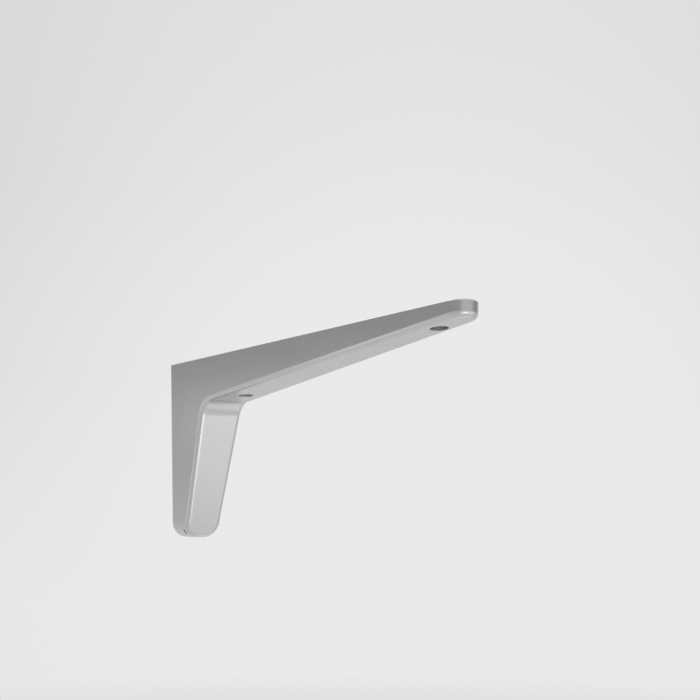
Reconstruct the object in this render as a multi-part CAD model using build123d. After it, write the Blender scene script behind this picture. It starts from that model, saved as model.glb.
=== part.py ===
from build123d import *
import os
from math import asin, atan, cos, hypot, radians, sin, tan

# Wall bracket for a shelf: a hollow casting that hangs on its own hidden wall plate.
# X runs along the wall, Y goes into the wall and Z is up.
# The origin is on the wall, midway between the two wall screws.
# A drop is measured down from the shelf and a reach out from the wall.

# Outside of the casting
ARM_LENGTH = 193.6
LEG_HEIGHT = 80.0
WALL_END_WIDTH = 24.5  # across the top, at the wall
TIP_RADIUS = 5.9  # round end of the arm, seen from above
ROOT_HEIGHT = 22.7  # the arm's underside, carried on to the wall
TIP_HEIGHT = 5.8
LEG_TOP_DEPTH = 35.3  # the leg's front, carried up to the shelf
LEG_FOOT_DEPTH = 11.9
DRAFT_ANGLE = 2.55  # the sides lean in towards the bottom
INNER_CORNER_RADIUS = 8.5  # where the arm turns into the leg
FOOT_CORNER_RADIUS = 7.0  # seen from the front
EDGE_RADIUS = 2.2  # along the underside, the leg and the tip
RIM_CHAMFER = 0.5  # on the rim that meets the shelf

# Inside of the casting
WALL = 2.2
CAVITY_CORNER_RADIUS = 1.5
RIB = 1.8
RIB_COUNT = 4
RIB_DROP = 1.0

# Holes for the shelf screws
INNER_HOLE_REACH = 50.0
OUTER_HOLE_FROM_TIP = 16.2
SHELF_SCREW_HOLE = 3.6
SCREW_HEAD_BORE = 6.3
SCREW_SEAT = 2.4  # metal left above the head of the screw
BOSS_WALL = 2.3

# Wall plate, bent from steel strip, and its screw holes
PLATE = 2.0
PLATE_BEND = 1.0  # inside of each bend
PLATE_SIDE_GAP = 0.5
PLATE_FOOT_GAP = 10.8  # above the floor of the foot
PLATE_CORNER_RADIUS = 3.0
WALL_SCREW_COUNT = 2
WALL_SCREW_HOLE = 4.5
WALL_SCREW_PITCH = 25.0
UPPER_WALL_SCREW_DROP = 23.0

# Hook of the wall plate and the crossbar of the casting that hangs in it
BAR_DEPTH = 6.0
BAR_HEIGHT = 5.0
BAR_DROP = 8.0
HOOK_GAP = 0.4  # play before and behind the bar
HOOK_LIP = 5.0

# Spring catch on the wall plate, and the slot across the foot that it snaps into
SPRING = 0.5
SPRING_BEND = 0.5
CATCH_WIDTH = 7.0
CATCH_OVERLAP = 13.0  # on the plate
CATCH_FLOAT = 0.7  # gap above the middle of the foot's floor, which curves up at its sides
CATCH_BITE = 0.5  # how far its tip reaches into the slot
SLOT_WIDTH = 0.9
SLOT_HEIGHT = 2.0  # of its ends, in the round corners of the foot
SLOT_FROM_FRONT = 2.7
SLOT_TOP_HEIGHT = 3.6  # above the underside of the foot
LEAD_IN = 1.0  # slope that lifts the catch as the leg is pushed home
LEAD_IN_SIDE_GAP = 0.4  # between the catch and the slope's ends

# Rivets that hold the catch to the plate
RIVET_COUNT = 2
RIVET = 2.5  # across the shank
RIVET_HEAD = 4.2
RIVET_HEAD_HEIGHT = 0.9
RIVET_PITCH = 6.0
RIVET_FROM_CATCH_TOP = 3.0

OVERSHOOT = 3.0  # how far a cutting tool passes a surface
MARGIN = 0.1  # how near an edge lies to the plane it is looked for on
LEAST_FILLET_ANGLE = 20.0  # edges turn at least this much to be rounded

SHELF_LEVEL = UPPER_WALL_SCREW_DROP + WALL_SCREW_PITCH / 2
HALF_WIDTH = WALL_END_WIDTH / 2
TIP_CENTRE = ARM_LENGTH - TIP_RADIUS
UNDERSIDE_SLOPE = (ROOT_HEIGHT - TIP_HEIGHT) / ARM_LENGTH
LEG_SLOPE = (LEG_TOP_DEPTH - LEG_FOOT_DEPTH) / LEG_HEIGHT
SIDE_ANGLE = atan(HALF_WIDTH / TIP_CENTRE) - asin(TIP_RADIUS / hypot(HALF_WIDTH, TIP_CENTRE))
DRAFT = tan(radians(DRAFT_ANGLE))
FLOOR_DROP = LEG_HEIGHT - WALL
BAR_FOOT_DROP = BAR_DROP + BAR_HEIGHT
OUTER_HOLE_REACH = ARM_LENGTH - OUTER_HOLE_FROM_TIP
PLATE_FOOT_DROP = FLOOR_DROP - PLATE_FOOT_GAP
CATCH_TOP_DROP = PLATE_FOOT_DROP - CATCH_OVERLAP
SLOT_REACH = LEG_FOOT_DEPTH - SLOT_FROM_FRONT


def level(drop):
    """Height of a point that lies this far below the shelf."""
    return SHELF_LEVEL - drop


def arm_height(reach, inset=0):
    """Drop of the arm's underside, or of a surface inside it."""
    return ROOT_HEIGHT - UNDERSIDE_SLOPE * reach - inset / cos(atan(UNDERSIDE_SLOPE))


def leg_depth(drop, inset=0):
    """Reach of the leg's front, or of a surface behind it."""
    return LEG_TOP_DEPTH - LEG_SLOPE * drop - inset / cos(atan(LEG_SLOPE))


def half_width(reach, drop, inset=0):
    """Half of the casting's width, or of the space between its walls."""
    return HALF_WIDTH - tan(SIDE_ANGLE) * reach - (DRAFT * drop + inset) / cos(SIDE_ANGLE)


def inner_corner(inset=0):
    """Reach and drop of the point where the underside meets the leg's front."""
    drop = (arm_height(leg_depth(0, inset), inset)) / (1 - UNDERSIDE_SLOPE * LEG_SLOPE)
    return leg_depth(drop, inset), drop


def side_shape(points):
    """Closed outline on the plane that cuts the bracket in half, from (reach, drop) points."""
    return Plane.YZ * make_face(Polyline([(-reach, level(drop)) for reach, drop in points], close=True))


def rounded(shape, reach, drop, radius):
    """Round the corner of a side outline that lies nearest to a point."""
    corner = shape.vertices().sort_by_distance((0, -reach, level(drop)))[0]
    return fillet(corner, radius)


def across(shape, width):
    """Solid of this width on both sides of the middle plane."""
    return extrude(shape, width / 2, both=True)


def side_block(inset, beyond):
    """The casting's side view as a wide block. Beyond is how far it passes the wall and the shelf."""
    end = ARM_LENGTH + OVERSHOOT
    foot = LEG_HEIGHT - inset
    corner = inner_corner(inset)
    outline = [
        (-beyond, -beyond),
        (end, -beyond),
        (end, arm_height(end, inset)),
        corner,
        (leg_depth(foot, inset), foot),
        (-beyond, foot),
    ]
    shape = rounded(side_shape(outline), *corner, INNER_CORNER_RADIUS + inset)
    return across(shape, WALL_END_WIDTH + 2 * OVERSHOOT)


def wedge(inset, end):
    """The space between the two leaning sides, from behind the wall out to a reach."""
    top = -OVERSHOOT
    height = LEG_HEIGHT + 2 * OVERSHOOT
    back = half_width(-OVERSHOOT, top, inset)
    front = half_width(end, top, inset)
    corners = [(front, -end), (back, OVERSHOOT), (-back, OVERSHOOT), (-front, -end)]
    outline = Pos(0, 0, level(top)) * make_face(Polyline(*corners, close=True))
    lean = DRAFT * height
    run = Vector(-lean * cos(SIDE_ANGLE), lean * sin(SIDE_ANGLE), -height)
    right = extrude(outline, run.length, dir=run)
    return right & mirror(right, Plane.YZ)


def plan_block(inset, end=None):
    """The casting's plan carried down past the foot, with a round tip, or cut off square at end."""
    if end:
        return wedge(inset, end)
    top_radius = TIP_RADIUS - inset + DRAFT * OVERSHOOT
    foot_radius = TIP_RADIUS - inset - DRAFT * (LEG_HEIGHT + OVERSHOOT)
    tip = Cone(foot_radius, top_radius, LEG_HEIGHT + 2 * OVERSHOOT, align=(Align.CENTER, Align.CENTER, Align.MIN))
    tip = Pos(0, -TIP_CENTRE, level(LEG_HEIGHT + OVERSHOOT)) * tip
    return wedge(inset, TIP_CENTRE + top_radius * sin(SIDE_ANGLE)) + tip


def foot_edges(solid, drop):
    """The two edges of the foot that run out from the wall at this drop."""
    found = []
    for edge in solid.edges().filter_by(GeomType.LINE):
        runs_out = abs((edge % 0.5).Y) > cos(2 * SIDE_ANGLE)
        if runs_out and abs(edge.center().Z - level(drop)) < MARGIN:
            found.append(edge)
    return found


def sharp_edges(solid):
    """Edges where two faces meet at an angle, below the shelf and off the wall."""
    faces = solid.faces()
    found = []
    for edge in solid.edges():
        middle = edge.position_at(0.5)
        at_shelf = middle.Z > SHELF_LEVEL - MARGIN
        at_wall = max((edge @ 0).Y, (edge @ 1).Y) > -MARGIN
        if at_shelf or at_wall:
            continue
        sides = [face.normal_at(middle) for face in faces if edge in face.edges()]
        if len(sides) == 2 and sides[0].get_angle(sides[1]) > LEAST_FILLET_ANGLE:
            found.append(edge)
    return found


def make_outside():
    """The casting as a solid block, with its foot, underside and rim rounded."""
    block = side_block(0, 0) & plan_block(0)
    block = fillet(foot_edges(block, LEG_HEIGHT), FOOT_CORNER_RADIUS)
    block = fillet(sharp_edges(block), EDGE_RADIUS)
    rim = [e for e in block.edges() if e.center().Z > SHELF_LEVEL - MARGIN and e.center().Y < -MARGIN]
    return chamfer(rim, RIM_CHAMFER)


def make_cavity():
    """The space inside, open to the shelf and to the wall, that ends at the boss near the tip."""
    end = OUTER_HOLE_REACH - SCREW_HEAD_BORE / 2 - BOSS_WALL
    space = side_block(WALL, OVERSHOOT) & plan_block(WALL, end)
    space = fillet(foot_edges(space, FLOOR_DROP), FOOT_CORNER_RADIUS - WALL)
    inner = [e for e in sharp_edges(space) if e.center().Z < SHELF_LEVEL - CAVITY_CORNER_RADIUS]
    return fillet(inner, CAVITY_CORNER_RADIUS)


def upright(reach, radius, top, bottom):
    """Round bar on the middle plane, from one drop down to another."""
    return Pos(0, -reach, level(bottom)) * Cylinder(radius, bottom - top, align=(Align.CENTER, Align.CENTER, Align.MIN))


def beam(reach, depth, top, bottom):
    """Bar across the casting, from one drop down to another."""
    return Pos(0, -reach, level(bottom)) * Box(
        WALL_END_WIDTH, depth, bottom - top, align=(Align.CENTER, Align.MAX, Align.MIN)
    )


def make_ribs():
    """The boss of the inner screw, the ribs across the arm and the bar that hangs in the hook."""
    pitch = (OUTER_HOLE_REACH - INNER_HOLE_REACH) / (RIB_COUNT + 1)
    ribs = [upright(INNER_HOLE_REACH, SCREW_HEAD_BORE / 2 + BOSS_WALL, 0, ROOT_HEIGHT)]
    for i in range(RIB_COUNT + 1):
        ribs.append(beam(INNER_HOLE_REACH + pitch * i - RIB / 2, RIB, RIB_DROP, ROOT_HEIGHT))
    bar = beam(HOOK_GAP, BAR_DEPTH, BAR_DROP, BAR_FOOT_DROP)
    ribs.append(fillet(bar.edges().filter_by(Axis.X).group_by(Axis.Z)[0], PLATE_BEND))
    return ribs


def shelf_screw_hole(reach):
    """Screw hole from the top, with a wide bore from below for the head."""
    hole = upright(reach, SHELF_SCREW_HOLE / 2, -OVERSHOOT, LEG_HEIGHT)
    return hole + upright(reach, SCREW_HEAD_BORE / 2, SCREW_SEAT, LEG_HEIGHT)


def make_body():
    """The casting: walls, ribs and bosses in one piece, open towards the shelf and the wall."""
    outside = make_outside()
    body = outside - make_cavity()
    for rib in make_ribs():
        body += rib & outside
    for reach in (INNER_HOLE_REACH, OUTER_HOLE_REACH):
        body -= shelf_screw_hole(reach)
    slot = Pos(0, -SLOT_REACH, level(LEG_HEIGHT - SLOT_TOP_HEIGHT)) * Box(
        WALL_END_WIDTH, SLOT_WIDTH, SLOT_HEIGHT, align=(Align.CENTER, Align.CENTER, Align.MAX)
    )
    slope = across(side_shape([
        (-OVERSHOOT, FLOOR_DROP + LEAD_IN + OVERSHOOT),
        (-OVERSHOOT, FLOOR_DROP - OVERSHOOT),
        (LEAD_IN + OVERSHOOT, FLOOR_DROP - OVERSHOOT),
    ]), CATCH_WIDTH + 2 * LEAD_IN_SIDE_GAP)
    return body - slot - slope


def bent_strip(points):
    """Side outline of a bent strip, from (reach, drop, radius) points."""
    shape = side_shape([(reach, drop) for reach, drop, _ in points])
    for reach, drop, radius in points:
        if radius:
            shape = rounded(shape, reach, drop, radius)
    return shape


def wall_hole(drop, radius):
    """Round cutter through the wall plate."""
    return Pos(0, 0, level(drop)) * Rot(90, 0, 0) * Cylinder(radius, 2 * (PLATE + OVERSHOOT))


def make_wall_plate():
    """Steel strip screwed to the wall, with a hook bent up at its top."""
    lip = HOOK_GAP + BAR_DEPTH + HOOK_GAP
    under_hook = BAR_FOOT_DROP + PLATE
    points = [
        (0, PLATE_FOOT_DROP, 0),
        (0, BAR_FOOT_DROP, PLATE_BEND + PLATE),
        (lip, BAR_FOOT_DROP, PLATE_BEND),
        (lip, BAR_FOOT_DROP - HOOK_LIP, 0),
        (lip + PLATE, BAR_FOOT_DROP - HOOK_LIP, 0),
        (lip + PLATE, under_hook, PLATE_BEND + PLATE),
        (PLATE, under_hook, PLATE_BEND),
        (PLATE, PLATE_FOOT_DROP, 0),
    ]
    strip = bent_strip(points)
    top, foot = BAR_FOOT_DROP - HOOK_LIP, PLATE_FOOT_DROP
    front_view = make_face(Polyline([
        (side * (half_width(0, drop, WALL) - PLATE_SIDE_GAP), level(drop))
        for side, drop in ((-1, top), (1, top), (1, foot), (-1, foot))
    ], close=True))
    front_view = fillet(front_view.vertices(), PLATE_CORNER_RADIUS)
    plate = across(strip, WALL_END_WIDTH) & extrude(Plane.XZ * front_view, ARM_LENGTH)
    for i in range(WALL_SCREW_COUNT):
        plate -= wall_hole(UPPER_WALL_SCREW_DROP + i * WALL_SCREW_PITCH, WALL_SCREW_HOLE / 2)
    for rivet in make_rivets():
        plate -= rivet
    return plate


def make_catch():
    """Leaf spring on the plate, whose turned-down tip sits in the slot of the foot."""
    under = FLOOR_DROP - CATCH_FLOAT
    tip = SLOT_REACH - SPRING / 2
    shape = bent_strip([
        (PLATE, CATCH_TOP_DROP, 0),
        (PLATE, under, SPRING_BEND + SPRING),
        (tip, under, SPRING_BEND),
        (tip, FLOOR_DROP + CATCH_BITE, 0),
        (tip + SPRING, FLOOR_DROP + CATCH_BITE, 0),
        (tip + SPRING, under - SPRING, SPRING_BEND + SPRING),
        (PLATE + SPRING, under - SPRING, SPRING_BEND),
        (PLATE + SPRING, CATCH_TOP_DROP, 0),
    ])
    catch = across(shape, CATCH_WIDTH)
    for rivet in make_rivets():
        catch -= rivet
    return catch


def make_rivets():
    """Two rivets, countersunk flush into the plate's back, with cone-shaped heads in front of the catch."""
    front = PLATE + SPRING
    head = RIVET_HEAD / 2
    shank = RIVET / 2
    section = [
        (0, 0),
        (head, 0),
        (shank, head - shank),
        (shank, front),
        (head, front),
        (shank, front + RIVET_HEAD_HEIGHT),
        (0, front + RIVET_HEAD_HEIGHT),
    ]
    rivet = revolve(Plane.XZ * make_face(Polyline(*section, close=True)), Axis.Z)
    drops = [CATCH_TOP_DROP + RIVET_FROM_CATCH_TOP + i * RIVET_PITCH for i in range(RIVET_COUNT)]
    return [Pos(0, 0, level(drop)) * Rot(90, 0, 0) * rivet for drop in drops]


def build():
    """Every piece by the name of its node."""
    return {
        "bracket_body": make_body(),
        "wall_plate": make_wall_plate(),
        "spring_catch": make_catch(),
        "catch_rivets": Compound(make_rivets()),
    }


os.makedirs("parts", exist_ok=True)
for name, piece in build().items():
    export_step(piece, f"parts/{name}.step")
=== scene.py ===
import math

import bpy
from mathutils import Matrix, Vector

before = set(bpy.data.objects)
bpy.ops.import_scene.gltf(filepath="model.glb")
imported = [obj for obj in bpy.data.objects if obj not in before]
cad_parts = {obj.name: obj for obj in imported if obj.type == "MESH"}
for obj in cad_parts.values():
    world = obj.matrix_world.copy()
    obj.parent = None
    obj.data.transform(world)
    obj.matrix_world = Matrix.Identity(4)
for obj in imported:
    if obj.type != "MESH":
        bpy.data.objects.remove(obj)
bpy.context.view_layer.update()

# Everything is in metres, in the frame of the model: the wall is the plane Y = 0.

# The photograph's view
EYE = (-0.2052, -0.4109, -0.0275)
VIEW_RIGHT = (0.8102, -0.5862, 0.0012)
VIEW_FORWARD = (0.5789, 0.8005, 0.1551)
LENS = 49.06
SENSOR = 36.0
CLIP_START = 0.01
CLIP_END = 20

# Middle of a noise's range, which holds nearly all of its values
NOISE_MIDDLE = (0.3, 0.7)

# Finishes. A noise is given as cycles per metre, octaves of detail and stretch along X, Y and Z.
# tone blends the two colours, wear varies the roughness and grain makes the bump.
EVEN = (1, 1, 1)
ALONG_Z = (1, 1, 0.08)
ALONG_STRIP = (1, 0.06, 0.06)
SATIN_SILVER = {  # on the casting: even, fine-grained and almost without colour
    "name": "satin_silver",
    "colours": ((0.588, 0.588, 0.590), (0.608, 0.608, 0.608)),
    "tone": (55, 3, EVEN),
    "roughness": (0.265, 0.285),
    "wear": (160, 2, EVEN),
    "grain": (4200, 2, EVEN),
    "bump_strength": 0.012,
    "bump_depth": 0.00002,
}
ZINC_PLATING = {  # on rolled strip: a cool grey with faint cloudy patches
    "name": "zinc_plating",
    "colours": ((0.53, 0.55, 0.575), (0.61, 0.625, 0.64)),
    "tone": (130, 4, EVEN),
    "roughness": (0.30, 0.44),
    "wear": (300, 4, EVEN),
    "grain": (1800, 3, ALONG_Z),
    "bump_strength": 0.15,
    "bump_depth": 0.00005,
}
SPRING_STEEL = {  # darker, with fine marks along the strip
    "name": "spring_strip",
    "colours": ((0.30, 0.30, 0.31), (0.42, 0.42, 0.43)),
    "tone": (2600, 3, ALONG_STRIP),
    "roughness": (0.24, 0.36),
    "wear": (500, 3, EVEN),
    "grain": (2600, 3, ALONG_STRIP),
    "bump_strength": 0.2,
    "bump_depth": 0.00004,
}
RIVET_STEEL = {  # bright, pressed smooth by the set
    "name": "rivet_steel",
    "colours": ((0.57, 0.57, 0.57), (0.63, 0.63, 0.63)),
    "tone": (900, 3, EVEN),
    "roughness": (0.25, 0.32),
    "wear": (700, 2, EVEN),
    "grain": (3000, 2, EVEN),
    "bump_strength": 0.04,
    "bump_depth": 0.00004,
}

# The walls of the two bores for the shelf screws are matt.
BORE_REACHES = (0.050, 0.1774)  # from the wall
BORE_RADIUS = 0.00318
BORE_EDGE = (BORE_RADIUS, BORE_RADIUS * 1.02)  # the matt finish ends between these radii
BORE_MATTNESS = 0.10  # more roughness than the finish outside them

# Floor
FLOOR_Z = -0.60
FLOOR_RADIUS = 2.2
FLOOR_SIDES = 128
FLOOR_COLOURS = ((0.8471, 0.8471, 0.83725), (0.86, 0.86, 0.85))
FLOOR_TONE = (3, 2, EVEN)
FLOOR_ROUGHNESS = 0.8
FLOOR_SPECULAR = 0.2

# Surroundings. Their brightness goes by direction. A band is two heights of the direction, as
# sines, between which one brightness turns into the next.
BELOW_HORIZON = 0.70
ABOVE_HORIZON = 0.32
HORIZON_BAND = (-0.10, 0.12)
OVERHEAD = 1.0
OVERHEAD_BAND = (0.3, 1.0)

# Two sides are lit: the backdrop, which the photograph looks at, and the one that the arm points
# to. Each comes in between two cosines of the angle from its middle.
BACKDROP = 0.82
BACKDROP_FOOT = 0.55  # where it meets the floor
BACKDROP_FOOT_BAND = (-0.27, -0.17)
BACKDROP_SIDE = (0.65, 0.76, 0)
BACKDROP_EDGE = (0.5, 0.97)
FRONT_GLOW = 0.66
FRONT_SIDE = (0.07, -1.0, 0)
FRONT_EDGE = (0.6, 0.9)

# Lamps: place, the point that it faces, width, height and radiance
MIDDLE = (0, -0.05, 0)
LAMPS = {
    "front_right": ((0.52, -0.80, -0.29), MIDDLE, 0.55, 0.45, 0.48),
    "front_low": ((-0.08, -0.88, -0.35), MIDDLE, 0.62, 0.34, 1.25),
    "left_strip": ((-0.230, 0.092, -0.031), (-0.01, -0.025, -0.005), 0.05, 0.16, 0.42),
    "left_near": ((-0.230, 0.250, 0.022), (-0.012, -0.07, 0.010), 0.10, 0.04, 0.38),
    "below_right": ((0.30, 0.0, -0.52), MIDDLE, 0.5, 0.4, 0.22),
    "back": ((0.20, 0.90, 0.90), (0.20, 0.90, 0), 1.8, 1.4, 0.65),
}


def new_material(name):
    """Empty node material with a Principled shader, and its node tree."""
    material = bpy.data.materials.new(name)
    material.use_nodes = True
    tree = material.node_tree
    tree.nodes.clear()
    shader = tree.nodes.new("ShaderNodeBsdfPrincipled")
    output = tree.nodes.new("ShaderNodeOutputMaterial")
    tree.links.new(shader.outputs["BSDF"], output.inputs["Surface"])
    return material, tree, shader


def feed(tree, socket, value):
    """Link a socket to another node's output, or set it to a plain value."""
    if isinstance(value, bpy.types.NodeSocket):
        tree.links.new(value, socket)
    else:
        socket.default_value = value


def noise(tree, cycles, detail, stretch):
    """Noise that lies fixed in the object."""
    place = tree.nodes.new("ShaderNodeTexCoord")
    mapping = tree.nodes.new("ShaderNodeMapping")
    mapping.inputs["Scale"].default_value = stretch
    texture = tree.nodes.new("ShaderNodeTexNoise")
    texture.inputs["Scale"].default_value = cycles
    texture.inputs["Detail"].default_value = detail
    tree.links.new(place.outputs["Object"], mapping.inputs["Vector"])
    tree.links.new(mapping.outputs["Vector"], texture.inputs["Vector"])
    return texture.outputs["Fac"]


def spread(tree, value, start, end, band=NOISE_MIDDLE):
    """Number that goes from start to end while a value crosses a band."""
    node = tree.nodes.new("ShaderNodeMapRange")
    node.inputs["From Min"].default_value, node.inputs["From Max"].default_value = band
    node.inputs["To Min"].default_value = start
    node.inputs["To Max"].default_value = end
    tree.links.new(value, node.inputs["Value"])
    return node.outputs["Result"]


def calculate(tree, operation, *values):
    """Result of a maths node on sockets or numbers."""
    node = tree.nodes.new("ShaderNodeMath")
    node.operation = operation
    for socket, value in zip(node.inputs, values):
        feed(tree, socket, value)
    return node.outputs["Value"]


def vector_node(tree, operation, first, second):
    """Vector maths node on a socket and a plain vector."""
    node = tree.nodes.new("ShaderNodeVectorMath")
    node.operation = operation
    node.inputs[1].default_value = second
    tree.links.new(first, node.inputs[0])
    return node


def blend(tree, factor, first, second):
    """Number between two others, each of them a socket or a number."""
    node = tree.nodes.new("ShaderNodeMix")
    feed(tree, node.inputs["Factor"], factor)
    feed(tree, node.inputs["A"], first)
    feed(tree, node.inputs["B"], second)
    return node.outputs["Result"]


def blend_colours(tree, factor, dark, light):
    """Colour between two others."""
    node = tree.nodes.new("ShaderNodeMix")
    node.data_type = "RGBA"
    node.inputs["A"].default_value = (*dark, 1)
    node.inputs["B"].default_value = (*light, 1)
    tree.links.new(factor, node.inputs["Factor"])
    return node.outputs["Result"]


def bump(tree, height, strength, depth):
    """Bumped normal from a height between 0 and 1."""
    node = tree.nodes.new("ShaderNodeBump")
    node.inputs["Strength"].default_value = strength
    node.inputs["Distance"].default_value = depth
    tree.links.new(height, node.inputs["Height"])
    return node.outputs["Normal"]


def inside_bores(tree):
    """1 on the walls of the two bores for the shelf screws and 0 outside them."""
    place = tree.nodes.new("ShaderNodeTexCoord").outputs["Object"]
    masks = []
    for reach in BORE_REACHES:
        flat = vector_node(tree, "MULTIPLY", place, (1, 1, 0)).outputs["Vector"]
        distance = vector_node(tree, "DISTANCE", flat, (0, -reach, 0)).outputs["Value"]
        masks.append(spread(tree, distance, 1, 0, BORE_EDGE))
    return calculate(tree, "ADD", *masks)


def metal(finish, matt_bores=False):
    """Metal with one of the finishes, and if wanted with the bores' walls left matt."""
    material, tree, shader = new_material(finish["name"])
    tone = spread(tree, noise(tree, *finish["tone"]), 0, 1)
    colour = blend_colours(tree, tone, *finish["colours"])
    roughness = spread(tree, noise(tree, *finish["wear"]), *finish["roughness"])
    if matt_bores:
        roughness = calculate(tree, "MULTIPLY_ADD", inside_bores(tree), BORE_MATTNESS, roughness)
    grain = noise(tree, *finish["grain"])
    normal = bump(tree, grain, finish["bump_strength"], finish["bump_depth"])
    shader.inputs["Metallic"].default_value = 1.0
    tree.links.new(colour, shader.inputs["Base Color"])
    tree.links.new(roughness, shader.inputs["Roughness"])
    tree.links.new(normal, shader.inputs["Normal"])
    return material


def dress(node, material):
    """Give every slot of a node's object this material."""
    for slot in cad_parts[node].material_slots:
        slot.material = material


def make_floor():
    """Plain pale floor, round, well below the bracket."""
    material, tree, shader = new_material("floor_paint")
    tone = spread(tree, noise(tree, *FLOOR_TONE), 0, 1)
    colour = blend_colours(tree, tone, *FLOOR_COLOURS)
    tree.links.new(colour, shader.inputs["Base Color"])
    shader.inputs["Roughness"].default_value = FLOOR_ROUGHNESS
    shader.inputs["Specular IOR Level"].default_value = FLOOR_SPECULAR
    bpy.ops.mesh.primitive_circle_add(
        vertices=FLOOR_SIDES, radius=FLOOR_RADIUS, fill_type="NGON", location=(0, 0, FLOOR_Z)
    )
    floor = bpy.context.object
    floor.name = "studio_floor"
    floor.data.materials.append(material)


def make_world():
    """Pale surroundings with two lit sides, and otherwise dimmer just above the horizon."""
    world = bpy.data.worlds.new("studio")
    world.use_nodes = True
    tree = world.node_tree
    direction = tree.nodes.new("ShaderNodeTexCoord").outputs["Generated"]

    def along(axis):
        return vector_node(tree, "DOT_PRODUCT", direction, axis).outputs["Value"]

    height = along((0, 0, 1))
    sides = spread(tree, height, BELOW_HORIZON, ABOVE_HORIZON, HORIZON_BAND)
    top = spread(tree, height, 0, OVERHEAD - ABOVE_HORIZON, OVERHEAD_BAND)
    dim = calculate(tree, "ADD", sides, top)
    in_front = spread(tree, along(FRONT_SIDE), 0, 1, FRONT_EDGE)
    glow = blend(tree, in_front, dim, FRONT_GLOW)
    on_backdrop = spread(tree, along(BACKDROP_SIDE), 0, 1, BACKDROP_EDGE)
    backdrop = spread(tree, height, BACKDROP_FOOT, BACKDROP, BACKDROP_FOOT_BAND)
    light = blend(tree, on_backdrop, glow, backdrop)
    tree.links.new(light, tree.nodes["Background"].inputs["Color"])
    bpy.context.scene.world = world


def softbox(name, place, aim, width, height, radiance):
    """Rectangular lamp that faces a point, with its brightness given as radiance."""
    data = bpy.data.lights.new(name, "AREA")
    data.shape = "RECTANGLE"
    data.size = width
    data.size_y = height
    data.energy = radiance * math.pi * width * height
    lamp = bpy.data.objects.new(name, data)
    lamp.location = place
    lamp.rotation_euler = (Vector(aim) - Vector(place)).to_track_quat("-Z", "Y").to_euler()
    lamp.visible_camera = False
    bpy.context.collection.objects.link(lamp)


def make_camera():
    """Camera at the place and angle of the photograph's."""
    data = bpy.data.cameras.new("photo_view")
    data.sensor_width = SENSOR
    data.lens = LENS
    data.clip_start = CLIP_START
    data.clip_end = CLIP_END
    camera = bpy.data.objects.new("photo_view", data)
    right = Vector(VIEW_RIGHT).normalized()
    back = -Vector(VIEW_FORWARD).normalized()
    up = back.cross(right)
    turn = Matrix((right, up, back)).transposed().to_4x4()
    camera.matrix_world = Matrix.Translation(EYE) @ turn
    bpy.context.collection.objects.link(camera)
    bpy.context.scene.camera = camera


dress("bracket_body", metal(SATIN_SILVER, matt_bores=True))
dress("wall_plate", metal(ZINC_PLATING))
dress("spring_catch", metal(SPRING_STEEL))
dress("catch_rivets", metal(RIVET_STEEL))

make_floor()
make_world()
for name, settings in LAMPS.items():
    softbox(name, *settings)
make_camera()

bpy.context.scene.view_settings.view_transform = "Standard"
